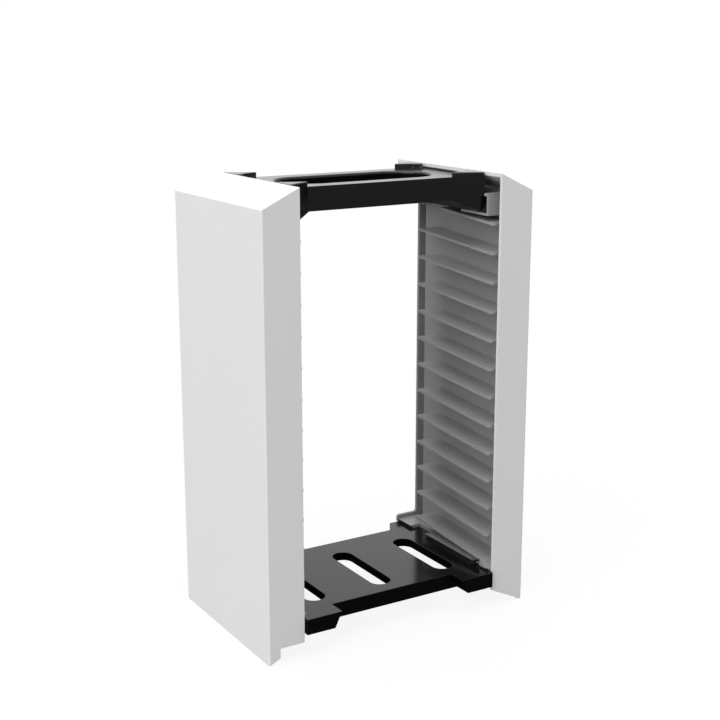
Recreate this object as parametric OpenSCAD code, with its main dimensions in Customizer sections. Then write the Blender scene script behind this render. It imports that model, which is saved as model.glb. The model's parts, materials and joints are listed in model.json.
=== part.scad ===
// Rack that holds game cases lying flat, one above another.
// Two side covers hide two ledged rails, which a base tray and a top tray tie together.
// X runs from left to right, Y from front to back and Z up. The origin is on the floor,
// under the middle of the rack. The right half is drawn, and the left half mirrors it.

/* [Cases and slots] */
// Width of the game case that each slot takes
case_w = 170; // [166:1:176]
// Play on each side of a case between the front walls
case_play = 1.5; // [0.5:0.25:2]
// How far each ledge reaches under a case
ledge_bearing = 2.5; // [1.8:0.1:3]
// Number of slots
slot_count = 12; // [6:1:13]
// Height from one ledge to the next
slot_pitch = 22.78; // [21:0.01:26]

/* [Side covers] */
// Width of each cover, seen from the front
cover_w = 29.75; // [29:0.25:34]
// Depth of each cover, from front to back
cover_d = 143.5; // [130:0.5:160]
// Wall of the covers
cover_t = 2.4; // [2:0.1:3]
// How much higher the inner edge of a cover is than its outer edge
cover_rise = 14; // [11:0.5:15]
// Radius of the upright corner between the front and the side
cover_corner_r = 1.2; // [0.6:0.1:2]
// Room above the rails, under the low side of the cover
cover_headroom = 1.8; // [1.5:0.1:5]
// Distance from the outside of the left cover to the notch in its lower edge
notch_inset = 9.4; // [8:0.1:11]
// Height of the notch above the floor
notch_z = 12; // [10:0.5:13]
// Radius at the inner end of the notch
notch_r = 2; // [1:0.1:2]

/* [Ledged rails] */
// Wall of the rails
rail_t = 1.8; // [1.5:0.1:2.2]
// Distance from the front of a rail's rear flange to the back of its cover
flange_back_gap = 8.55; // [6:0.05:12]
// Thickness of a rail's rear flange
flange_t = 2.5; // [2:0.1:3]
// Width of the groove between a rail's web and its rear flange
groove_w = 9.7; // [8.5:0.1:12]
// Distance from the front of a rail to the front of its ledges
ledge_front_gap = 2.3; // [1:0.1:4]
// Distance from the back of the ledges to the back of the covers
ledge_back_gap = 37.75; // [34:0.05:42]
// Slope of the ledges, down towards the front, in degrees
ledge_tilt = 4; // [2:0.5:4.5]
// Radius of the free front corner of a ledge
ledge_corner_r = 2.2; // [1.4:0.2:4]
// Height of the lowest ledge above the base, halfway along the ledge
first_ledge_rise = 11.55; // [11.55:0.05:15]
// Thickness of a rail's foot
foot_t = 2.75; // [2:0.05:3]

/* [Base tray] */
// Height of the base tray's deck above the floor
deck_z = 30.35; // [29:0.05:36]
// Height of the base tray
base_h = 12.35; // [11:0.05:13]
// How far the base tray's front blocks stand in front of the covers
block_proud = 2.05; // [0:0.05:3]
// Thickness of the base tray's deck
base_deck_t = 3; // [2.5:0.1:3.5]
// Wall of both trays
tray_t = 2.2; // [1.8:0.1:2.6]
// Width of the slots in the base tray
slot_w = 17.4; // [12:0.1:20]
// Distance from the front of the base tray to its slots
slot_front_margin = 11.5; // [8:0.1:20]
// Distance from the slots to the back of the base tray
slot_back_margin = 22.1; // [12:0.1:30]
// Distance from one slot in the base tray to the next
slot_step = 59.7; // [52:0.1:62]

/* [Top tray] */
// Depth of the straight bar of the top tray, from front to back
bar_d = 79.8; // [76:0.1:84]
// Height of the front of the bar
bar_h = 17.9; // [15:0.1:19]
// Length of the straight bar
bar_l = 123.4; // [118:0.1:128]
// How much shallower the top tray is at its ends than the rails' channels, on each side
wing_step = 8.1; // [6:0.1:10]
// Thickness of the top tray's deck
top_deck_t = 2.5; // [2:0.1:3]
// Length of the opening in the top tray
opening_l = 130.6; // [110:0.1:132]
// Depth of the opening in the top tray
opening_d = 50; // [40:0.5:54]
// Radius of the upper edge of the opening
opening_edge_r = 1.8; // [1:0.1:2]
// Height of the corner lugs above the top tray
lug_h = 3.7; // [2:0.1:3.8]

/* [Fasteners] */
// Diameter of a screw's head
screw_head_d = 5.6; // [5:0.1:6]
// Height of a screw's head
screw_head_h = 2; // [1.5:0.1:2.2]
// Diameter of a screw's shank
screw_d = 2.8; // [2.5:0.1:3]
// Diameter of the bosses that take the screws
boss_d = 7.2; // [6.6:0.1:7.6]
// Number of screws that hold each cover
cover_screw_count = 4; // [3:1:5]

/* [Hidden] */
$fn = 48;
// How far a cut runs past what it cuts
overrun = 1;
// Number of flats along a rounded corner
corner_steps = 8;
// Gap between moulded pieces that lie beside each other
fit_gap = 0.25;
// Clearance of a screw in its hole, all round
screw_gap = 0.05;

// Half widths, from the middle of the rack to the outside
ledge_x = case_w / 2 - ledge_bearing;
mouth_x = case_w / 2 + case_play;
outer_x = mouth_x + cover_w;
cover_in_x = outer_x - cover_t;
// Room between the side of a cover and its rail, at the web and at the floor of the groove
web_gap = 9;
groove_gap = 1.5;
web_out_x = cover_in_x - web_gap;
web_in_x = web_out_x - rail_t;
groove_out_x = cover_in_x - groove_gap;
groove_in_x = groove_out_x - rail_t;

// Places from front to back
front_y = -cover_d / 2;
front_in_y = front_y + cover_t;
web_front_y = front_in_y + fit_gap;
back_y = cover_d / 2;
flange_y = back_y - flange_back_gap;
rail_back_y = flange_y + flange_t;
groove_y = flange_y - groove_w;
ledge_front_y = web_front_y + ledge_front_gap;
ledge_back_y = back_y - ledge_back_gap;

// Places of the top tray's joint with the rails
tray_end_gap = 2.1;
tray_end_x = mouth_x - tray_end_gap;
// Channel in the top of each rail, which takes the top tray's tongue
channel_inset = 8.7;
channel_d = -2 * (web_front_y + channel_inset);
channel_h = 16.8;
channel_t = 2;
channel_lip = 5.4;
channel_window = 50.8;
channel_window_inset = 10;
channel_drop = 1.14;
// The top ledge ends where it meets the floor of the channel
top_ledge_back_y = (channel_drop - rail_t / 2) / tan(ledge_tilt);
// Tongue at each end of the top tray
tongue_gap = 0.2;
tongue_end_gap = 2.3;
tongue_x = web_in_x - tongue_end_gap;
tongue_d = channel_d - 2 * channel_t - 2 * tongue_gap;
wing_d = channel_d - 2 * wing_step;

// Heights
base_z = deck_z - base_h;
low_ledge_z = deck_z + first_ledge_rise;
top_ledge_z = low_ledge_z + slot_count * slot_pitch;
channel_z = top_ledge_z + channel_drop;
channel_floor_z = channel_z + rail_t;
web_top_z = channel_z + channel_h;
cover_low_z = web_top_z + cover_headroom;
cover_high_z = cover_low_z + cover_rise;
tongue_z = channel_floor_z + tongue_gap;
tongue_top_z = web_top_z - channel_t - tongue_gap;
// How far the lugs stay under the high edge of the covers
lug_drop = 0.2;
top_deck_z = cover_high_z - lug_drop - lug_h;
bar_z = top_deck_z - bar_h;

// Hooks that hold the front of each cover against its rail
hook_shares = [0.16, 0.5, 0.84];
hook_h = 14;
hook_t = 1.8;
hook_reach = 5.8;
hook_gap = 0.3;
hook_inset = 8.9;
hook_y = front_in_y + hook_inset;

// Foot of each rail, from front to back
foot_d = rail_back_y - web_front_y;
foot_pad_shares = [[0, 0.115], [0.18, 0.661], [0.828, 1]];
foot_notch = 9.5;
foot_setback = 0.6;
pad_x = ledge_x + foot_setback;
rim_h = 3.2;
rim_r = 2;
rim_blend_r = 3;
// Toe that joins the lowest ledge to the foot
toe_l = 10.5;
toe_y = web_front_y + toe_l;

// Screws and what they go into
screw_hole_r = screw_d / 2 + screw_gap;
screw_skin = 0.8;
screw_end_gap = 0.5;
recess_d = 3.2;
recess_w = 0.7;
recess_deep = 1;
cover_screw_y = flange_y - groove_w / 2;
cover_screw_end = 28;
foot_boss_h = 3.3;
foot_screw_inset = 6.3;
foot_screw_x = web_in_x - foot_screw_inset;
foot_screw_shares = [0.142, 0.41, 0.715];
tray_screw_inset = 9.3;
tray_screw_x = web_in_x - tray_screw_inset;
tray_screw_back = 12.4;
tray_screw_y = channel_d / 2 - tray_screw_back;
tray_screw_l = 9.5;

// Top tray: collar round its opening, and lugs as shares of a wing's length and a rim's depth
collar_t = 1.8;
wing_flat = 1.7;
bar_corner_r = 2.4;
lug_shares = [[1, 0.2], [0.64, 0.64]];
lug_r = 2;
lug_edge_r = 0.8;

// Base tray, from the middle outwards and from front to back
block_d = 13.25;
block_l = 25.4;
block_taper = 5.8;
block_x = mouth_x - block_l;
block_end_gap = 1.25;
block_end_x = mouth_x - block_end_gap;
block_front_y = front_y - block_proud;
base_end_x = cover_in_x - fit_gap;
base_front_y = front_y + block_d;
base_rear_gap = 22.45;
base_rear_y = back_y - base_rear_gap;
base_back_gap = 8.15;
base_back_y = back_y - base_back_gap;
base_back_l = 11.65;
base_back_x = mouth_x - base_back_l;
base_slant_l = 9.2;
base_rear_x = base_back_x - base_slant_l;
slot_front_y = base_front_y + slot_front_margin;
slot_back_y = base_rear_y - slot_back_margin;
slot_l = slot_back_y - slot_front_y;
slot_collar_h = 7;

function unit(v) = v / norm(v);

// Points of the corner b between a and c, rounded to radius r
function corner(a, b, c, r) =
  r == 0 ? [b] :
  let (
    u = unit(a - b),
    v = unit(c - b),
    half = acos(u * v) / 2,
    centre = b + unit(u + v) * r / sin(half),
    first = b + u * r / tan(half) - centre,
    last = b + v * r / tan(half) - centre
  )
  [for (i = [0:corner_steps]) centre + r * unit(first + (last - first) * i / corner_steps)];

// An outline with each corner rounded to its own radius
function rounded(points, radii) =
  let (n = len(points))
  [for (i = [0:n - 1]) each corner(points[(i + n - 1) % n], points[i], points[(i + 1) % n], radii[i])];

// A counterclockwise outline moved inwards by t
function inset(points, t) =
  let (n = len(points))
  [for (i = [0:n - 1])
    let (
      u = unit(points[i] - points[(i + n - 1) % n]),
      v = unit(points[(i + 1) % n] - points[i]),
      p = [-u.y, u.x],
      q = [-v.y, v.x]
    )
    points[i] + t * (p + q) / (1 + p * q)];

// A right half outline, from front to back, joined to its mirror image
function both_sides(points) =
  concat(points, [for (i = [len(points) - 1:-1:0]) [-points[i].x, points[i].y]]);

// Extrudes an outline in X and Z from y0 to y1
module along_y(y0, y1) {
  translate([0, y1, 0])
    rotate([90, 0, 0])
      linear_extrude(y1 - y0) children();
}

// An outline of width w along X and length l along Y, with round ends
module round_ended(w, l) {
  square([w, l - w], center = true);
  for (side = [-1, 1])
    translate([0, side * (l - w) / 2]) circle(d = w);
}

// A screw that points up from the origin, with its head below and a cross recess
module screw(l) {
  difference() {
    union() {
      translate([0, 0, -screw_head_h]) cylinder(h = screw_head_h, d = screw_head_d);
      cylinder(h = l, d = screw_d);
    }
    for (turn = [0, 90])
      rotate([0, 0, turn])
        translate([-recess_d / 2, -recess_w / 2, -screw_head_h - overrun])
          cube([recess_d, recess_w, recess_deep + overrun]);
  }
}

function cover_screw_zs() =
  let (
    low = deck_z + cover_screw_end,
    step = (web_top_z - cover_screw_end - low) / (cover_screw_count - 1)
  )
  [for (i = [0:cover_screw_count - 1]) low + i * step];

function foot_screw_ys() = [for (share = foot_screw_shares) web_front_y + share * foot_d];

function hook_zs() = [for (share = hook_shares) deck_z + share * (web_top_z - deck_z)];

// Front of a cover, in X and Z, with a straight or a notched lower edge
module cover_front_outline(notched) {
  slope = cover_rise / cover_w;
  step_x = outer_x - notch_inset;
  straight = [[mouth_x, cover_rise], [outer_x, 0]];
  notch = [[mouth_x, cover_rise], [mouth_x, notch_z], [step_x, notch_z],
    [step_x, notch_inset * slope], [outer_x, 0]];
  lower = notched ? rounded(notch, [0, notch_r / 2, 0, 0, 0]) : straight;
  polygon(concat(lower, [[outer_x, cover_low_z], [mouth_x, cover_high_z]]));
}

// Sloping top of a cover, in X and Z
module cover_top_outline() {
  t = cover_t * norm([cover_w, cover_rise]) / cover_w;
  polygon([[mouth_x, cover_high_z - t], [outer_x, cover_low_z - t],
    [outer_x, cover_low_z], [mouth_x, cover_high_z]]);
}

// Plan of a cover, with its upright outer corner rounded
module cover_plan() {
  polygon(rounded([[mouth_x, front_y], [outer_x, front_y], [outer_x, back_y], [mouth_x, back_y]],
    [0, cover_corner_r, 0, 0]));
}

module cover(notched) {
  hook_x = web_out_x + hook_gap;
  difference() {
    union() {
      intersection() {
        linear_extrude(cover_high_z) cover_plan();
        union() {
          along_y(front_y, front_in_y) cover_front_outline(notched);
          along_y(front_y, back_y) cover_top_outline();
          translate([cover_in_x, front_in_y, 0])
            cube([cover_t, back_y - front_in_y, cover_low_z]);
        }
      }
      for (z = cover_screw_zs())
        translate([groove_out_x, cover_screw_y, z])
          rotate([0, 90, 0]) cylinder(h = groove_gap + cover_t / 2, d = boss_d);
      for (z = hook_zs())
        translate([hook_x, hook_y, z - hook_h / 2]) {
          cube([cover_in_x + cover_t / 2 - hook_x, hook_t, hook_h]);
          cube([hook_t, hook_t + hook_reach, hook_h]);
        }
    }
    for (z = cover_screw_zs())
      translate([groove_out_x - overrun, cover_screw_y, z])
        rotate([0, 90, 0])
          cylinder(h = groove_gap + cover_t - screw_skin + overrun, r = screw_hole_r);
  }
}

// Plan of a rail: its web, the groove behind it and the rear flange
module rail_plan() {
  polygon([[web_in_x, web_front_y], [web_out_x, web_front_y], [web_out_x, groove_y - rail_t],
    [groove_out_x, groove_y - rail_t], [groove_out_x, rail_back_y], [web_in_x, rail_back_y],
    [web_in_x, flange_y], [groove_in_x, flange_y], [groove_in_x, groove_y], [web_in_x, groove_y]]);
}

// Front and back end of a ledge, numbered from the lowest
function ledge_ends(i) =
  [i == 0 ? toe_y : ledge_front_y, i == slot_count ? top_ledge_back_y : ledge_back_y];

// Ledges of one rail, each sloping down to the front
module ledges() {
  end_x = web_in_x + rail_t / 2;
  for (i = [0:slot_count]) {
    ends = ledge_ends(i);
    outline = [[ledge_x, ends[0]], [end_x, ends[0]], [end_x, ends[1]], [ledge_x, ends[1]]];
    translate([0, 0, low_ledge_z + i * slot_pitch])
      rotate([ledge_tilt, 0, 0])
        translate([0, 0, -rail_t / 2])
          linear_extrude(rail_t) polygon(rounded(outline, [i == 0 ? 0 : ledge_corner_r, 0, 0, 0]));
  }
}

// Toe that slopes from the front of the lowest ledge down to the foot
module toe() {
  low_z = deck_z + foot_t;
  high_z = low_ledge_z + toe_y * tan(ledge_tilt) + rail_t / 2;
  translate([pad_x, 0, 0])
    rotate([90, 0, 90])
      linear_extrude(web_in_x + rail_t / 2 - pad_x)
        polygon([[ledge_front_y, low_z - foot_t / 2], [toe_y, low_z - foot_t / 2],
          [toe_y, high_z], [ledge_front_y, low_z]]);
}

// Channel at the top of a rail, with a lip over its front and its back end
module channel() {
  half = channel_d / 2;
  w = web_in_x + rail_t / 2 - ledge_x;
  for (side = [0, 1])
    mirror([0, side, 0])
      translate([ledge_x, -half, channel_z]) {
        cube([w, half - channel_window / 2, rail_t]);
        cube([w, channel_t, channel_h]);
        translate([0, 0, channel_h - channel_t]) cube([w, channel_lip, channel_t]);
      }
  translate([ledge_x + channel_window_inset, -half, channel_z])
    cube([w - channel_window_inset, channel_d, rail_t]);
}

// Side of a rail's pads, in X and Z, undercut towards the cases
module pad_outline() {
  polygon([[pad_x + foot_t, deck_z], [web_out_x, deck_z],
    [web_out_x, deck_z + foot_t], [pad_x, deck_z + foot_t]]);
}

// Rim behind the rear pad, in X and Z, which blends into the rear flange
module rim_outline() {
  rim_z = deck_z + foot_t + rim_h;
  polygon(rounded([[pad_x, deck_z], [web_out_x, deck_z], [web_out_x, rim_z + 2 * rim_blend_r],
    [web_in_x, rim_z + 2 * rim_blend_r], [web_in_x, rim_z], [pad_x, rim_z]],
    [0, 0, 0, 0, rim_blend_r, rim_r]));
}

// Foot of a rail, with notches in its inner edge and a rim at the back
module foot() {
  translate([pad_x + foot_notch, web_front_y, deck_z])
    cube([web_out_x - pad_x - foot_notch, foot_d, foot_t]);
  for (share = foot_pad_shares)
    along_y(web_front_y + share[0] * foot_d, web_front_y + share[1] * foot_d) pad_outline();
  along_y(flange_y, rail_back_y) rim_outline();
  for (y = foot_screw_ys())
    translate([foot_screw_x, y, deck_z]) cylinder(h = foot_t + foot_boss_h, d = boss_d);
}

// Catches on the outside of the web, which the cover's hooks slide behind
module catches() {
  root_x = web_out_x - rail_t / 2;
  catch_x = web_out_x + 2 * hook_gap + hook_t;
  catch_y = hook_y + hook_t + hook_reach + 2 * hook_gap;
  for (z = hook_zs())
    translate([0, catch_y, z - hook_h / 2]) {
      translate([root_x, 0, 0]) cube([catch_x + hook_t - root_x, hook_t, hook_h]);
      translate([catch_x, -hook_reach, 0]) cube([hook_t, hook_reach + hook_t, hook_h]);
    }
}

module rail() {
  difference() {
    union() {
      translate([0, 0, deck_z]) linear_extrude(web_top_z - deck_z) rail_plan();
      ledges();
      toe();
      channel();
      foot();
      catches();
    }
    for (z = cover_screw_zs())
      translate([groove_in_x - overrun, cover_screw_y, z])
        rotate([0, 90, 0]) cylinder(h = rail_t + 2 * overrun, r = screw_hole_r);
    for (y = foot_screw_ys())
      translate([foot_screw_x, y, deck_z - overrun])
        cylinder(h = foot_t + foot_boss_h - screw_skin + overrun, r = screw_hole_r);
    translate([tray_screw_x, tray_screw_y, channel_z - overrun])
      cylinder(h = rail_t + 2 * overrun, r = screw_hole_r);
  }
}

// Plan of the top tray: a bar that flares at both ends
function top_plan() =
  both_sides([[bar_l, -bar_d] / 2, [tray_end_x, -wing_d / 2], [tray_end_x, wing_d / 2], [bar_l, bar_d] / 2]);

// Radii of the top tray's corners, where only those of the bar are rounded
function top_plan_radii() = [for (is_bar = [true, false, false, true, true, false, false, true])
  is_bar ? bar_corner_r : 0];

// Side of the top tray, in X and Z, deeper at its ends
module top_side_outline() {
  polygon([[-tray_end_x, tongue_z], [-tray_end_x + wing_flat, tongue_z], [-bar_l / 2, bar_z],
    [bar_l / 2, bar_z], [tray_end_x - wing_flat, tongue_z], [tray_end_x, tongue_z],
    [tray_end_x, top_deck_z], [-tray_end_x, top_deck_z]]);
}

// Lugs on the right of the top tray, which stand on the front and the back of its wing
module lugs() {
  outline = concat([[bar_l, bar_d] / 2, [tray_end_x, wing_d / 2]],
    [for (share = lug_shares)
      [bar_l / 2 + share.x * (tray_end_x - bar_l / 2), (opening_d + share.y * (bar_d - opening_d)) / 2]]);
  for (side = [0, 1])
    mirror([0, side, 0])
      translate([0, 0, top_deck_z - top_deck_t / 2])
        linear_extrude(lug_h + top_deck_t / 2) polygon(rounded(outline, [lug_edge_r, 0, lug_r, lug_r]));
}

// Cuts the opening, which widens at its upper edge to round it
module opening_cut() {
  low_z = top_deck_z - opening_edge_r;
  flare = [for (i = [0:corner_steps])
    let (turn = 90 * i / corner_steps)
    [opening_d / 2 + opening_edge_r * (1 - cos(turn)), low_z + opening_edge_r * sin(turn)]];
  side = concat([[0, low_z]], flare, [[opening_d / 2 + opening_edge_r, top_deck_z + overrun],
    [0, top_deck_z + overrun]]);
  half = (opening_l - opening_d) / 2;
  translate([0, 0, bar_z - overrun])
    linear_extrude(bar_h + 2 * overrun)
      rotate([0, 0, 90]) round_ended(opening_d, opening_l);
  for (end = [-1, 1])
    translate([end * half, 0, 0]) rotate_extrude() polygon(side);
  for (turn = [0, 180])
    rotate([0, 0, turn])
      translate([-half, 0, 0])
        rotate([90, 0, 90]) linear_extrude(2 * half) polygon(side);
}

// Tongue on the right of the top tray, hollow from below, with a boss for its screw
module tongue() {
  in_x = tray_end_x - tray_t;
  h = tongue_top_z - tongue_z;
  difference() {
    translate([in_x, -tongue_d / 2, tongue_z]) cube([tongue_x - in_x, tongue_d, h]);
    translate([tray_end_x, -tongue_d / 2 + tray_t, tongue_z - overrun])
      cube([tongue_x - tray_t - tray_end_x, tongue_d - 2 * tray_t, h - tray_t + overrun]);
  }
  translate([tray_screw_x, tray_screw_y, tongue_z]) cylinder(h = h - tray_t / 2, d = boss_d);
}

module top_tray() {
  color("#17181a")
    difference() {
      union() {
        difference() {
          intersection() {
            translate([0, 0, tongue_z])
              linear_extrude(top_deck_z - tongue_z) polygon(rounded(top_plan(), top_plan_radii()));
            along_y(-wing_d, wing_d) top_side_outline();
          }
          translate([0, 0, tongue_z - overrun])
            linear_extrude(top_deck_z - top_deck_t - tongue_z + overrun)
              polygon(inset(top_plan(), tray_t));
        }
        translate([0, 0, bar_z])
          linear_extrude(bar_h)
            rotate([0, 0, 90]) round_ended(opening_d + 2 * collar_t, opening_l + 2 * collar_t);
        for (side = [0, 1])
          mirror([side, 0, 0]) {
            lugs();
            tongue();
          }
      }
      opening_cut();
      for (side = [0, 1])
        mirror([side, 0, 0])
          translate([tray_screw_x, tray_screw_y, tongue_z - overrun])
            cylinder(h = tray_screw_l + overrun, r = screw_hole_r);
    }
}

// Plan of the base tray, without the taper of its front blocks
function base_plan() =
  both_sides([[block_x, base_front_y], [block_x, block_front_y], [block_end_x, block_front_y],
    [block_end_x, web_front_y], [base_end_x, web_front_y], [base_end_x, base_back_y],
    [base_back_x, base_back_y], [base_rear_x, base_rear_y]]);

// Taper on the inner side of the right front block, in X and Z, moved outwards by t
module taper_outline(t, low, high) {
  slope = block_taper / base_h;
  polygon([[block_x + t - slope * (low - base_z), low], [block_x + t + overrun, low],
    [block_x + t + overrun, high], [block_x + t - slope * (high - base_z), high]]);
}

module base_slots(w, h, overshoot) {
  for (i = [-1:1])
    translate([i * slot_step, slot_back_y - slot_l / 2, deck_z - h])
      linear_extrude(h + overshoot) round_ended(w, slot_l - slot_w + w);
}

module base_tray() {
  under_z = deck_z - base_deck_t;
  color("#17181a")
    difference() {
      union() {
        difference() {
          translate([0, 0, base_z]) linear_extrude(base_h) polygon(base_plan());
          translate([0, 0, base_z - overrun])
            linear_extrude(under_z - base_z + overrun) polygon(inset(base_plan(), tray_t));
        }
        for (side = [0, 1])
          mirror([side, 0, 0])
            difference() {
              along_y(block_front_y, base_front_y) taper_outline(0, base_z, deck_z);
              along_y(block_front_y + tray_t, base_front_y + overrun)
                taper_outline(tray_t, base_z - overrun, under_z);
            }
        base_slots(slot_w + 2 * collar_t, slot_collar_h, 0);
      }
      for (side = [0, 1])
        mirror([side, 0, 0]) {
          along_y(block_front_y + tray_t, base_front_y + tray_t)
            taper_outline(tray_t, base_z - overrun, under_z);
          for (y = foot_screw_ys())
            translate([foot_screw_x, y, under_z - overrun])
              cylinder(h = base_deck_t + 2 * overrun, r = screw_hole_r);
        }
      base_slots(slot_w, slot_collar_h + overrun, overrun);
    }
}

// Screws that hold the right cover to its rail, driven from inside, in the rail's groove
module cover_screws() {
  for (z = cover_screw_zs())
    translate([groove_in_x, cover_screw_y, z])
      rotate([0, 90, 0]) screw(rail_t + groove_gap + cover_t - screw_skin - screw_end_gap);
}

module right_cover() {
  color("#eceded") cover(false);
}

module left_cover() {
  color("#eceded") mirror([1, 0, 0]) cover(true);
}

module right_rail() {
  color("#a2a3a4") rail();
}

module left_rail() {
  color("#a2a3a4") mirror([1, 0, 0]) rail();
}

module right_cover_screws() {
  color("#9a9da1") cover_screws();
}

module left_cover_screws() {
  color("#9a9da1") mirror([1, 0, 0]) cover_screws();
}

// Screws from under the base tray into the rails' feet
module base_screws() {
  color("#9a9da1")
    for (side = [0, 1], y = foot_screw_ys())
      mirror([side, 0, 0])
        translate([foot_screw_x, y, deck_z - base_deck_t])
          screw(base_deck_t + foot_t + foot_boss_h - screw_skin - screw_end_gap);
}

// Screws from under the rails' channels into the top tray's tongues
module tray_screws() {
  color("#9a9da1")
    for (side = [0, 1])
      mirror([side, 0, 0])
        translate([tray_screw_x, tray_screw_y, channel_z])
          screw(rail_t + tongue_gap + tray_screw_l - screw_end_gap);
}

left_cover();
right_cover();
left_rail();
right_rail();
top_tray();
base_tray();
left_cover_screws();
right_cover_screws();
base_screws();
tray_screws();
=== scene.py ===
"""Looks of a rack for game cases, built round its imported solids.

The rack is six plastic mouldings and their screws. Each moulding starts as a
merged copy of its solid, whose edges are rounded the way a mould rounds them,
and gets its own procedural finish. All lengths are in metres.
"""

import json
import logging
import math
from dataclasses import dataclass, field
from enum import Enum
from typing import Iterable, Optional, Union

import bmesh
import bpy
from mathutils import Matrix, Vector

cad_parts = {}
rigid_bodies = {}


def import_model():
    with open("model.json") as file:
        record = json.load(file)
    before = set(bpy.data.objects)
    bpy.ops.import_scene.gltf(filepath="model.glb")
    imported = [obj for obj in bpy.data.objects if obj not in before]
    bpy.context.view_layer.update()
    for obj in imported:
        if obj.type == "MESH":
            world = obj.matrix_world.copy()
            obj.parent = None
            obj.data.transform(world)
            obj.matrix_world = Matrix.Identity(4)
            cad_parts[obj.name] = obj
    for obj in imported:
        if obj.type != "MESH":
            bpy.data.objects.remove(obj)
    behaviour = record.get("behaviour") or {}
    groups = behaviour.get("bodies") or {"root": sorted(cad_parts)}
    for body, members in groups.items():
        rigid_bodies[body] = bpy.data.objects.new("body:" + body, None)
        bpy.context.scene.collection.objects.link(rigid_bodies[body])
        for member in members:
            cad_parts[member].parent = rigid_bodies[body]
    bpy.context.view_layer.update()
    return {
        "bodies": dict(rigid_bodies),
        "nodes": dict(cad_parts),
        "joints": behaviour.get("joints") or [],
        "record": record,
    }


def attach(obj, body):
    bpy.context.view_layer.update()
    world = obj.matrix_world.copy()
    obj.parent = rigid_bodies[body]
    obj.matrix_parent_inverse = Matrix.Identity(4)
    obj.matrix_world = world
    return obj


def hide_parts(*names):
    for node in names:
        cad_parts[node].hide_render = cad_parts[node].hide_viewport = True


LOG = logging.getLogger("rack")
MM = 0.001
BODY = "root"
WHITE = (1.0, 1.0, 1.0, 1.0)

Socket = bpy.types.NodeSocket
Number = Union[float, "Wire"]
Colour = tuple[float, ...]
Stops = list[tuple[float, float]]


class Slot(Enum):
    """Material slots of the record."""

    COVER = "cover_plastic"
    RAIL = "rail_plastic"
    TRAY = "tray_plastic"
    SCREW = "screw_steel"


@dataclass
class Wire:
    """An output of a node, with arithmetic that adds Math nodes.

    Args:
        graph: The graph that the node belongs to.
        socket: The output socket.
    """

    graph: "Graph"
    socket: Socket

    def _math(self, operation: str, *values: Number) -> "Wire":
        """Adds one Math node.

        Args:
            operation: The Math node's operation.
            values: The node's inputs, in order.

        Returns:
            The node's value.
        """
        settings = {"operation": operation}
        return self.graph.node("ShaderNodeMath", settings, dict(enumerate(values)))

    def __add__(self, other: Number) -> "Wire":
        """Returns self + other."""
        return self._math("ADD", self, other)

    def __radd__(self, other: Number) -> "Wire":
        """Returns other + self."""
        return self._math("ADD", other, self)

    def __sub__(self, other: Number) -> "Wire":
        """Returns self - other."""
        return self._math("SUBTRACT", self, other)

    def __rsub__(self, other: Number) -> "Wire":
        """Returns other - self."""
        return self._math("SUBTRACT", other, self)

    def __mul__(self, other: Number) -> "Wire":
        """Returns self * other."""
        return self._math("MULTIPLY", self, other)

    def __rmul__(self, other: Number) -> "Wire":
        """Returns other * self."""
        return self._math("MULTIPLY", other, self)

    def largest(self, other: Number) -> "Wire":
        """Returns the larger of self and other."""
        return self._math("MAXIMUM", self, other)


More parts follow.
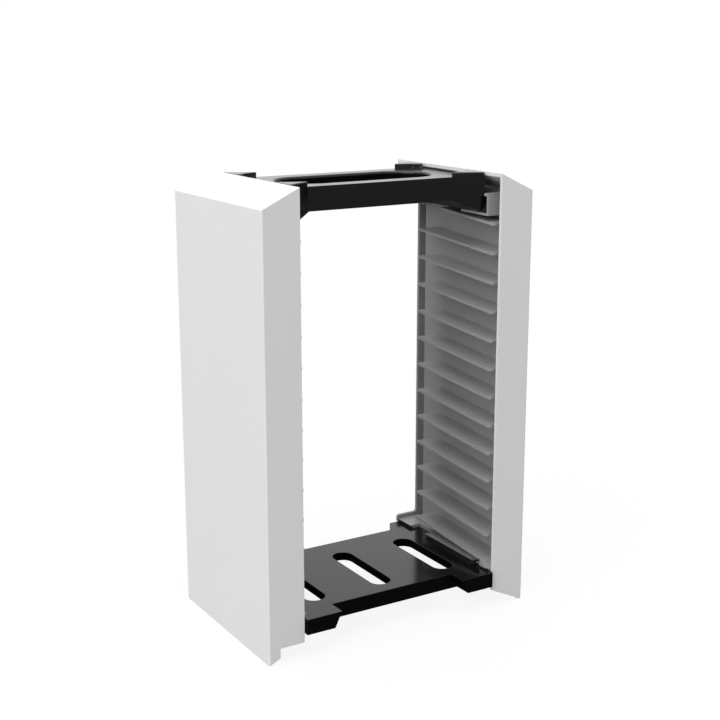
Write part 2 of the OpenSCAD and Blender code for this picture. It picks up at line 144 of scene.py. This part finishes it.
class Graph:
    """The node tree of a material or a world, built one node at a time."""

    def __init__(self, tree: bpy.types.NodeTree) -> None:
        """Empties a tree.

        Args:
            tree: The node tree to build in.
        """
        tree.nodes.clear()
        self.tree = tree

    def node(
        self,
        kind: str,
        settings: Optional[dict] = None,
        inputs: Optional[dict] = None,
        output: Union[int, str] = 0,
    ) -> Wire:
        """Adds a node.

        Args:
            kind: The node's type.
            settings: Properties, which are set before the inputs. The two stops of
                a colour ramp are a list of (position, grey value) under "stops".
            inputs: Values or wires, by the socket's name or number.
            output: The output that is returned, by name or number.

        Returns:
            The chosen output, or the first input of a node with no outputs.
        """
        made = self.tree.nodes.new(kind)
        for name, value in (settings or {}).items():
            if name == "stops":
                self._set_stops(made.color_ramp, value)
            else:
                setattr(made, name, value)
        for name, value in (inputs or {}).items():
            socket = self._live(made.inputs, name)
            if isinstance(value, Wire):
                self.tree.links.new(value.socket, socket)
            else:
                socket.default_value = value
        ends = made.outputs if len(made.outputs) else made.inputs
        return Wire(self, self._live(ends, output))

    @staticmethod
    def _live(sockets: Iterable[Socket], name: Union[int, str]) -> Socket:
        """Finds a socket by its number, or the one in use of those with its name.

        Args:
            sockets: The node's inputs or outputs.
            name: The socket's number or name.

        Returns:
            The socket.
        """
        if isinstance(name, int):
            return sockets[name]
        return next(s for s in sockets if s.name == name and s.enabled)

    @staticmethod
    def _set_stops(ramp: bpy.types.ColorRamp, stops: Stops) -> None:
        """Sets the two grey stops of a ramp.

        Args:
            ramp: The ramp, which starts with two stops.
            stops: Positions and grey values, in order.
        """
        for element, (place, grey) in zip(ramp.elements, stops):
            element.position = place
            element.color = (grey, grey, grey, 1.0)

    def place(self) -> Wire:
        """Returns the point of the surface, in metres, in the rack's frame."""
        return self.node("ShaderNodeTexCoord", output="Object")

    def stretched(self, scale: tuple[float, float, float]) -> Wire:
        """Returns the surface's point, scaled along each axis."""
        return self.node("ShaderNodeMapping", {}, {"Vector": self.place(), "Scale": scale})

    def noise(self, size: float, detail: float = 2.0, at: Optional[Wire] = None) -> Wire:
        """Adds a noise pattern.

        Args:
            size: Size of its features, in metres.
            detail: Octaves of finer noise.
            at: Where it is read, if not at the plain surface point.

        Returns:
            The noise, from 0 to 1 with a mean of 0.5.
        """
        inputs = {"Vector": at or self.place(), "Scale": 1.0 / size, "Detail": detail}
        return self.node("ShaderNodeTexNoise", {}, inputs)

    def ramp(self, value: Wire, stops: Stops) -> Wire:
        """Returns value passed through a ramp of two grey stops."""
        return self.node("ShaderNodeValToRGB", {"stops": stops}, {"Fac": value})

    def tint(self, amount: Wire, low: Colour, high: Colour) -> Wire:
        """Mixes two colours.

        Args:
            amount: 0 for the first colour and 1 for the second.
            low: The first colour, as red, green and blue.
            high: The second colour.

        Returns:
            The mixed colour.
        """
        inputs = {"Factor": amount, "A": (*low, 1.0), "B": (*high, 1.0)}
        return self.node("ShaderNodeMix", {"data_type": "RGBA"}, inputs, "Result")

    def bump(self, height: Wire, depth: float, under: Optional[Wire] = None) -> Wire:
        """Adds relief.

        Args:
            height: The relief, from 0 to 1.
            depth: Its depth, in metres.
            under: Another bump that it lies on.

        Returns:
            The normal.
        """
        inputs = {"Height": height, "Distance": depth, "Strength": 1.0}
        if under is not None:
            inputs["Normal"] = under
        return self.node("ShaderNodeBump", {}, inputs)


def new_material(name: str) -> tuple[bpy.types.Material, Graph]:
    """Returns a new material and its empty graph."""
    material = bpy.data.materials.new(name)
    material.use_nodes = True
    return material, Graph(material.node_tree)


@dataclass(frozen=True)
class Rubs:
    """Fine marks that cases and hands leave, long along one axis.

    Args:
        width: Width of a mark.
        stretch: Scale of each axis. A small one draws the marks out along it.
    """

    width: float
    stretch: tuple[float, float, float]

    def build(self, graph: Graph) -> Wire:
        """Returns the noise whose peaks are the marks."""
        return graph.noise(self.width, at=graph.stretched(self.stretch))


@dataclass(frozen=True)
class Plastic:
    """A moulded plastic with a fine surface texture.

    Args:
        name: Name of the material.
        colour: Its colour, as red, green and blue.
        roughness: Its mean roughness.
        grain: Size of the texture of the mould's wall.
        grain_depth: Depth of that texture.
        shading: How much its colour wanders, as a share.
        sheen_spread: How much its roughness wanders.
        sink: Size of the slow waves that cooling leaves.
        sink_depth: Depth of those waves.
        rubs: How much fine rub marks roughen it.
        ior: Its index of refraction.
        cloud_share: Share of slow clouds in its shading, beside small specks.
        speck_grains: Size of a speck, in grains.
    """

    name: str
    colour: Colour
    roughness: float
    grain: float
    grain_depth: float
    shading: float
    sheen_spread: float
    sink: float
    sink_depth: float
    rubs: float = 0.0
    ior: float = 1.5
    cloud_share: float = 0.7
    speck_grains: float = 6.0

    def build(self) -> bpy.types.Material:
        """Returns the material."""
        material, graph = new_material(self.name)
        cloud = graph.noise(self.sink, detail=3.0)
        speck = graph.noise(self.grain * self.speck_grains)
        dark = tuple(c * (1 - self.shading) for c in self.colour)
        light = tuple(min(1.0, c * (1 + self.shading)) for c in self.colour)
        shade = self.cloud_share * cloud + (1.0 - self.cloud_share) * speck
        colour = graph.tint(shade, dark, light)
        rough = self.roughness + self.sheen_spread * (cloud + speck - 1.0)
        if self.rubs:
            rough = rough + self.rubs * self.rub_marks(graph)
        waves = graph.bump(graph.noise(self.sink, detail=1.0), self.sink_depth)
        texture = graph.bump(graph.noise(self.grain), self.grain_depth, waves)
        inputs = {"Base Color": colour, "Roughness": rough, "Normal": texture, "IOR": self.ior}
        shader = graph.node("ShaderNodeBsdfPrincipled", {}, inputs)
        graph.node("ShaderNodeOutputMaterial", {}, {"Surface": shader})
        return material

    @staticmethod
    def rub_marks(graph: Graph) -> Wire:
        """Fine rub marks, some long in X and some long in Y.

        Args:
            graph: The material's graph.

        Returns:
            The marks, 1 where the surface is rubbed.
        """
        across = Rubs(width=1.2 * MM, stretch=(0.02, 1.0, 1.0)).build(graph)
        along = Rubs(width=1.5 * MM, stretch=(1.0, 0.03, 1.0)).build(graph)
        unmarked, marked = 0.62, 0.74
        return graph.ramp(across.largest(along), [(unmarked, 0.0), (marked, 1.0)])


@dataclass(frozen=True)
class Plating:
    """Zinc plating on a turned screw.

    Args:
        name: Name of the material.
        colour: Its colour.
        roughness: Its mean roughness.
        stain: Size of its stains.
        stain_shade: How dark the stains are, as a share of its colour.
        stain_spread: How much they change its roughness.
        turning: Width of the marks that turning leaves.
        turning_depth: Depth of those marks.
    """

    name: str
    colour: Colour
    roughness: float
    stain: float = 1.4 * MM
    stain_shade: float = 0.8
    stain_spread: float = 0.2
    turning: float = 0.12 * MM
    turning_depth: float = 0.006 * MM

    def build(self) -> bpy.types.Material:
        """Returns the material."""
        material, graph = new_material(self.name)
        stain = graph.noise(self.stain, detail=3.0)
        turned = graph.noise(self.turning, detail=1.0)
        dark = tuple(c * self.stain_shade for c in self.colour)
        inputs = {
            "Base Color": graph.tint(stain, dark, self.colour),
            "Metallic": 1.0,
            "Roughness": self.roughness + self.stain_spread * (stain - 0.5),
            "Normal": graph.bump(turned, self.turning_depth),
        }
        shader = graph.node("ShaderNodeBsdfPrincipled", {}, inputs)
        graph.node("ShaderNodeOutputMaterial", {}, {"Surface": shader})
        return material


@dataclass
class Finishes:
    """The finishes of the rack, one for each slot of the record."""

    cover: Plastic = Plastic(
        name="white_cover_plastic",
        colour=(0.86, 0.86, 0.86),
        roughness=0.5,
        grain=0.35 * MM,
        grain_depth=0.004 * MM,
        shading=0.006,
        sheen_spread=0.05,
        sink=45 * MM,
        sink_depth=0.05 * MM,
    )
    rail: Plastic = Plastic(
        name="grey_rail_plastic",
        colour=(0.36, 0.36, 0.365),
        roughness=0.34,
        grain=0.4 * MM,
        grain_depth=0.005 * MM,
        shading=0.015,
        sheen_spread=0.06,
        sink=18 * MM,
        sink_depth=0.04 * MM,
        rubs=0.05,
    )
    tray: Plastic = Plastic(
        name="gloss_black_tray_plastic",
        colour=(0.003, 0.003, 0.0032),
        roughness=0.15,
        grain=0.5 * MM,
        grain_depth=0.0008 * MM,
        shading=0.1,
        sheen_spread=0.03,
        sink=25 * MM,
        sink_depth=0.03 * MM,
        rubs=0.06,
        ior=1.45,
    )
    screw: Plating = Plating(
        name="zinc_screw_plating",
        colour=(0.56, 0.57, 0.59),
        roughness=0.34,
    )
    made: dict[Slot, bpy.types.Material] = field(default_factory=dict)

    def build(self) -> None:
        """Makes each finish once."""
        self.made = {
            Slot.COVER: self.cover.build(),
            Slot.RAIL: self.rail.build(),
            Slot.TRAY: self.tray.build(),
            Slot.SCREW: self.screw.build(),
        }

    def dress(self, piece: bpy.types.Object, slot: Slot) -> None:
        """Gives a piece the finish of its slot.

        Args:
            piece: The piece.
            slot: Its slot in the record.
        """
        piece.data.materials.clear()
        piece.data.materials.append(self.made[slot])


@dataclass
class Moulding:
    """One moulding or set of screws, made from a merged copy of its solid.

    Args:
        node: The solid that it stands for.
        slot: Its slot in the record.
        radius: Radius of its rounded edges.
        segments: Flats across a rounded edge.
        shortest: Edges shorter than this stay as they are, except in the crown.
        crease: Edges that turn less than this, in degrees, are part of a curve.
        crown: Height above which the edges have a radius of their own.
        crown_radius: That radius.
        weld: Corners closer than this become one.
        sliver: Edges shorter than this disappear.
        flat: Faces that turn less than this, in degrees, become one.
        most_corners: Faces with more corners than this are cut into triangles.
        area_weight: How far the larger faces decide the shading, up to 100.
    """

    node: str
    slot: Slot
    radius: float
    segments: int = 3
    shortest: float = 1.0 * MM
    crease: float = 35.0
    crown: float = math.inf
    crown_radius: float = 0.0
    weld: float = 0.002 * MM
    sliver: float = 0.001 * MM
    flat: float = 0.4
    most_corners: int = 4
    area_weight: int = 100

    def build(self, frame: dict, finishes: Finishes) -> bpy.types.Object:
        """Makes the piece.

        Args:
            frame: The loaded frame.
            finishes: The finishes of the rack.

        Returns:
            The finished piece.
        """
        mesh = frame["nodes"][self.node].data.copy()
        mesh.name = self.node + "_piece"
        shape = bmesh.new()
        shape.from_mesh(mesh)
        self.merge(shape)
        self.round_edges(shape)
        shape.to_mesh(mesh)
        shape.free()
        piece = bpy.data.objects.new(self.node + "_piece", mesh)
        bpy.context.scene.collection.objects.link(piece)
        self.smooth(piece)
        finishes.dress(piece, self.slot)
        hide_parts(self.node)
        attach(piece, BODY)
        LOG.info("%s: %d faces", piece.name, len(mesh.polygons))
        return piece

    def merge(self, shape: bmesh.types.BMesh) -> None:
        """Joins loose triangles and takes out the lines across flat faces.

        Args:
            shape: The copied mesh.
        """
        bmesh.ops.remove_doubles(shape, verts=shape.verts[:], dist=self.weld)
        bmesh.ops.dissolve_degenerate(shape, edges=shape.edges[:], dist=self.sliver)
        bmesh.ops.dissolve_limit(
            shape,
            angle_limit=math.radians(self.flat),
            use_dissolve_boundaries=False,
            verts=shape.verts[:],
            edges=shape.edges[:],
        )

    def round_edges(self, shape: bmesh.types.BMesh) -> None:
        """Rounds the long creased edges, and cuts the large faces into triangles.

        Args:
            shape: The merged mesh.
        """
        top = [edge for edge in shape.edges if self.crowning(edge) and self.creased(edge)]
        if top:
            self.bevel(shape, top, self.crown_radius)
        rest = [
            edge
            for edge in shape.edges
            if edge.calc_length() > self.shortest and self.creased(edge)
        ]
        self.bevel(shape, rest, self.radius)
        large = [face for face in shape.faces if len(face.verts) > self.most_corners]
        bmesh.ops.triangulate(shape, faces=large, quad_method="BEAUTY", ngon_method="BEAUTY")

    def bevel(
        self, shape: bmesh.types.BMesh, edges: list[bmesh.types.BMEdge], radius: float
    ) -> None:
        """Rounds some edges.

        Args:
            shape: The merged mesh.
            edges: The edges.
            radius: Their radius, which shrinks where faces are small.
        """
        bmesh.ops.bevel(
            shape,
            geom=edges,
            offset=radius,
            offset_type="OFFSET",
            segments=self.segments,
            profile=0.5,
            affect="EDGES",
            clamp_overlap=True,
            material=-1,
        )

    def crowning(self, edge: bmesh.types.BMEdge) -> bool:
        """Returns whether an edge lies wholly above the height of the crown."""
        return all(vertex.co.z > self.crown for vertex in edge.verts)

    def creased(self, edge: bmesh.types.BMEdge) -> bool:
        """Returns whether an edge between two faces is sharp enough to round."""
        if len(edge.link_faces) != 2:
            return False
        return math.degrees(edge.calc_face_angle(0.0)) > self.crease

    def smooth(self, piece: bpy.types.Object) -> None:
        """Shades a piece smooth over its rounded edges and flat elsewhere.

        Args:
            piece: The piece.
        """
        piece.data.shade_smooth()
        piece.data.set_sharp_from_angle(angle=math.radians(self.crease))
        weighted = piece.modifiers.new("flat_faces", "WEIGHTED_NORMAL")
        weighted.keep_sharp = True
        weighted.weight = self.area_weight


def screws(node: str) -> Moulding:
    """Returns a set of screws, whose edges are finer than a moulding's."""
    return Moulding(node, Slot.SCREW, radius=0.2 * MM, segments=2, shortest=0.1 * MM)


@dataclass
class Rack:
    """The whole rack: two sides, two trays and their screws."""

    mouldings: tuple[Moulding, ...] = (
        Moulding("left_cover", Slot.COVER, radius=0.35 * MM),
        Moulding("right_cover", Slot.COVER, radius=0.35 * MM),
        Moulding("left_rail", Slot.RAIL, radius=0.45 * MM),
        Moulding("right_rail", Slot.RAIL, radius=0.45 * MM),
        Moulding(
            "top_tray", Slot.TRAY, radius=0.35 * MM, crown=348 * MM, crown_radius=1.5 * MM
        ),
        Moulding("base_tray", Slot.TRAY, radius=0.35 * MM),
        screws("left_cover_screws"),
        screws("right_cover_screws"),
        screws("base_screws"),
        screws("tray_screws"),
    )

    def build(self, frame: dict, finishes: Finishes) -> None:
        """Makes every piece of the rack.

        Args:
            frame: The loaded frame.
            finishes: The finishes of the rack.
        """
        for moulding in self.mouldings:
            moulding.build(frame, finishes)


@dataclass(frozen=True)
class Lamp:
    """A broad, soft lamp far away.

    Args:
        name: Name of the lamp.
        shines_from: Direction that it shines from.
        energy: Its level.
        spread: Its apparent width, in degrees.
    """

    name: str
    shines_from: tuple[float, float, float]
    energy: float
    spread: float

    def build(self) -> None:
        """Makes the lamp."""
        data = bpy.data.lights.new(self.name, "SUN")
        data.energy = self.energy
        data.angle = math.radians(self.spread)
        lamp = bpy.data.objects.new(self.name, data)
        lamp.rotation_euler = Vector(self.shines_from).to_track_quat("Z", "Y").to_euler()
        bpy.context.scene.collection.objects.link(lamp)


@dataclass
class Studio:
    """The camera, the lamps, the pale floor and the white surroundings.

    Args:
        eye: Place of the camera.
        yaw: Its turn from +Y towards +X, in degrees.
        pitch: How far it looks down, in degrees.
        roll: Its turn about its own axis, in degrees.
        lens: Its focal length, in millimetres.
        sensor: Width of its sensor, in millimetres.
        farthest: Distance up to which it sees.
        ambient: Level of the light from all round.
        lamps: The lamps.
        floor_size: Width of the floor.
        floor_white: Share of the floor that the camera sees as plain white.
        floor_pale: How pale its paint is to the camera.
        floor_bounce: How pale it is as a source of bounced light.
        gloss_near: How pale it is in reflections, close to the rack, where it is painted
            darker as a painted shadow of the rack.
        gloss_far: How pale it is in reflections, far from the rack.
        gloss_range: Distance from the rack at which it is that pale.
        gloss_start: Where it starts to turn paler, as a share of that distance.
    """

    eye: tuple[float, float, float] = (-0.52135, -0.86398, 0.44881)
    yaw: float = 31.366
    pitch: float = 13.755
    roll: float = -0.034
    lens: float = 66.05
    sensor: float = 36.0
    farthest: float = 100.0
    ambient: float = 0.45
    lamps: tuple[Lamp, ...] = (
        Lamp("side", shines_from=(-0.84, -0.33, 0.42), energy=1.19, spread=50.0),
        Lamp("overhead", shines_from=(-0.18, -0.02, 1.0), energy=1.85, spread=75.0),
    )
    floor_size: float = 30.0
    floor_white: float = 0.9
    floor_pale: float = 0.9
    floor_bounce: float = 0.35
    gloss_near: float = 0.03
    gloss_far: float = 0.22
    gloss_range: float = 1.6
    gloss_start: float = 0.1

    def build(self) -> None:
        """Makes the whole studio."""
        self.build_camera()
        for lamp in self.lamps:
            lamp.build()
        self.build_world()
        self.build_floor()
        bpy.context.scene.view_settings.view_transform = "Standard"

    def build_camera(self) -> None:
        """Makes the camera."""
        data = bpy.data.cameras.new("camera")
        data.lens = self.lens
        data.sensor_width = self.sensor
        data.clip_end = self.farthest
        camera = bpy.data.objects.new("camera", data)
        turn = Matrix.Rotation(math.radians(-self.yaw), 4, "Z")
        tilt = Matrix.Rotation(math.radians(90.0 - self.pitch), 4, "X")
        spin = Matrix.Rotation(math.radians(self.roll), 4, "Z")
        camera.matrix_world = Matrix.Translation(self.eye) @ turn @ tilt @ spin
        bpy.context.scene.collection.objects.link(camera)
        bpy.context.scene.camera = camera

    def build_world(self) -> None:
        """Makes the surroundings, white to the eye and dimmer as a light."""
        world = bpy.data.worlds.new("studio")
        world.use_nodes = True
        graph = Graph(world.node_tree)
        seen = self.seen(graph)
        strength = self.ambient + (1.0 - self.ambient) * seen
        shade = graph.node("ShaderNodeBackground", {}, {"Color": WHITE, "Strength": strength})
        graph.node("ShaderNodeOutputWorld", {}, {"Surface": shade})
        bpy.context.scene.world = world

    @staticmethod
    def seen(graph: Graph) -> Wire:
        """Returns 1 for rays that show the surroundings, and 0 for those that light."""
        camera = graph.node("ShaderNodeLightPath", output="Is Camera Ray")
        glossy = graph.node("ShaderNodeLightPath", output="Is Glossy Ray")
        through = graph.node("ShaderNodeLightPath", output="Is Transmission Ray")
        return camera.largest(glossy).largest(through)

    def build_floor(self) -> None:
        """Makes the pale floor, which keeps a faint shadow of the rack."""
        shape = bmesh.new()
        bmesh.ops.create_grid(shape, x_segments=1, y_segments=1, size=self.floor_size / 2)
        mesh = bpy.data.meshes.new("floor")
        shape.to_mesh(mesh)
        shape.free()
        floor = bpy.data.objects.new("floor", mesh)
        bpy.context.scene.collection.objects.link(floor)
        mesh.materials.append(self.floor_material())

    def floor_material(self) -> bpy.types.Material:
        """Returns the floor's paint, nearly white to the eye and darker otherwise, with
        painted shade close to the rack in reflections.
        """
        material, graph = new_material("pale_floor")
        eye = graph.node("ShaderNodeLightPath", output="Is Camera Ray")
        shine = self.seen(graph) - eye
        tone = self.floor_bounce + (self.floor_pale - self.floor_bounce) * eye
        measure = {"operation": "LENGTH"}
        # Painted shade: in reflections the floor is painted darker close to the rack, standing
        # in for the rack's shadow there.
        distance = graph.node("ShaderNodeVectorMath", measure, {0: graph.place()}, "Value")
        stops = [(self.gloss_start, self.gloss_near), (1.0, self.gloss_far)]
        gloss = graph.ramp((1.0 / self.gloss_range) * distance, stops)
        tone = tone + (gloss - self.floor_bounce) * shine
        paint = graph.node("ShaderNodeBsdfDiffuse", {}, {"Color": tone})
        glow = graph.node("ShaderNodeEmission", {}, {"Color": WHITE})
        inputs = {0: self.floor_white * eye, 1: paint, 2: glow}
        surface = graph.node("ShaderNodeMixShader", {}, inputs)
        graph.node("ShaderNodeOutputMaterial", {}, {"Surface": surface})
        return material


def main() -> None:
    """Builds the studio and the rack."""
    logging.basicConfig(level=logging.INFO, format="%(name)s: %(message)s")
    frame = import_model()
    Studio().build()
    finishes = Finishes()
    finishes.build()
    Rack().build(frame, finishes)


if __name__ == "__main__":
    main()
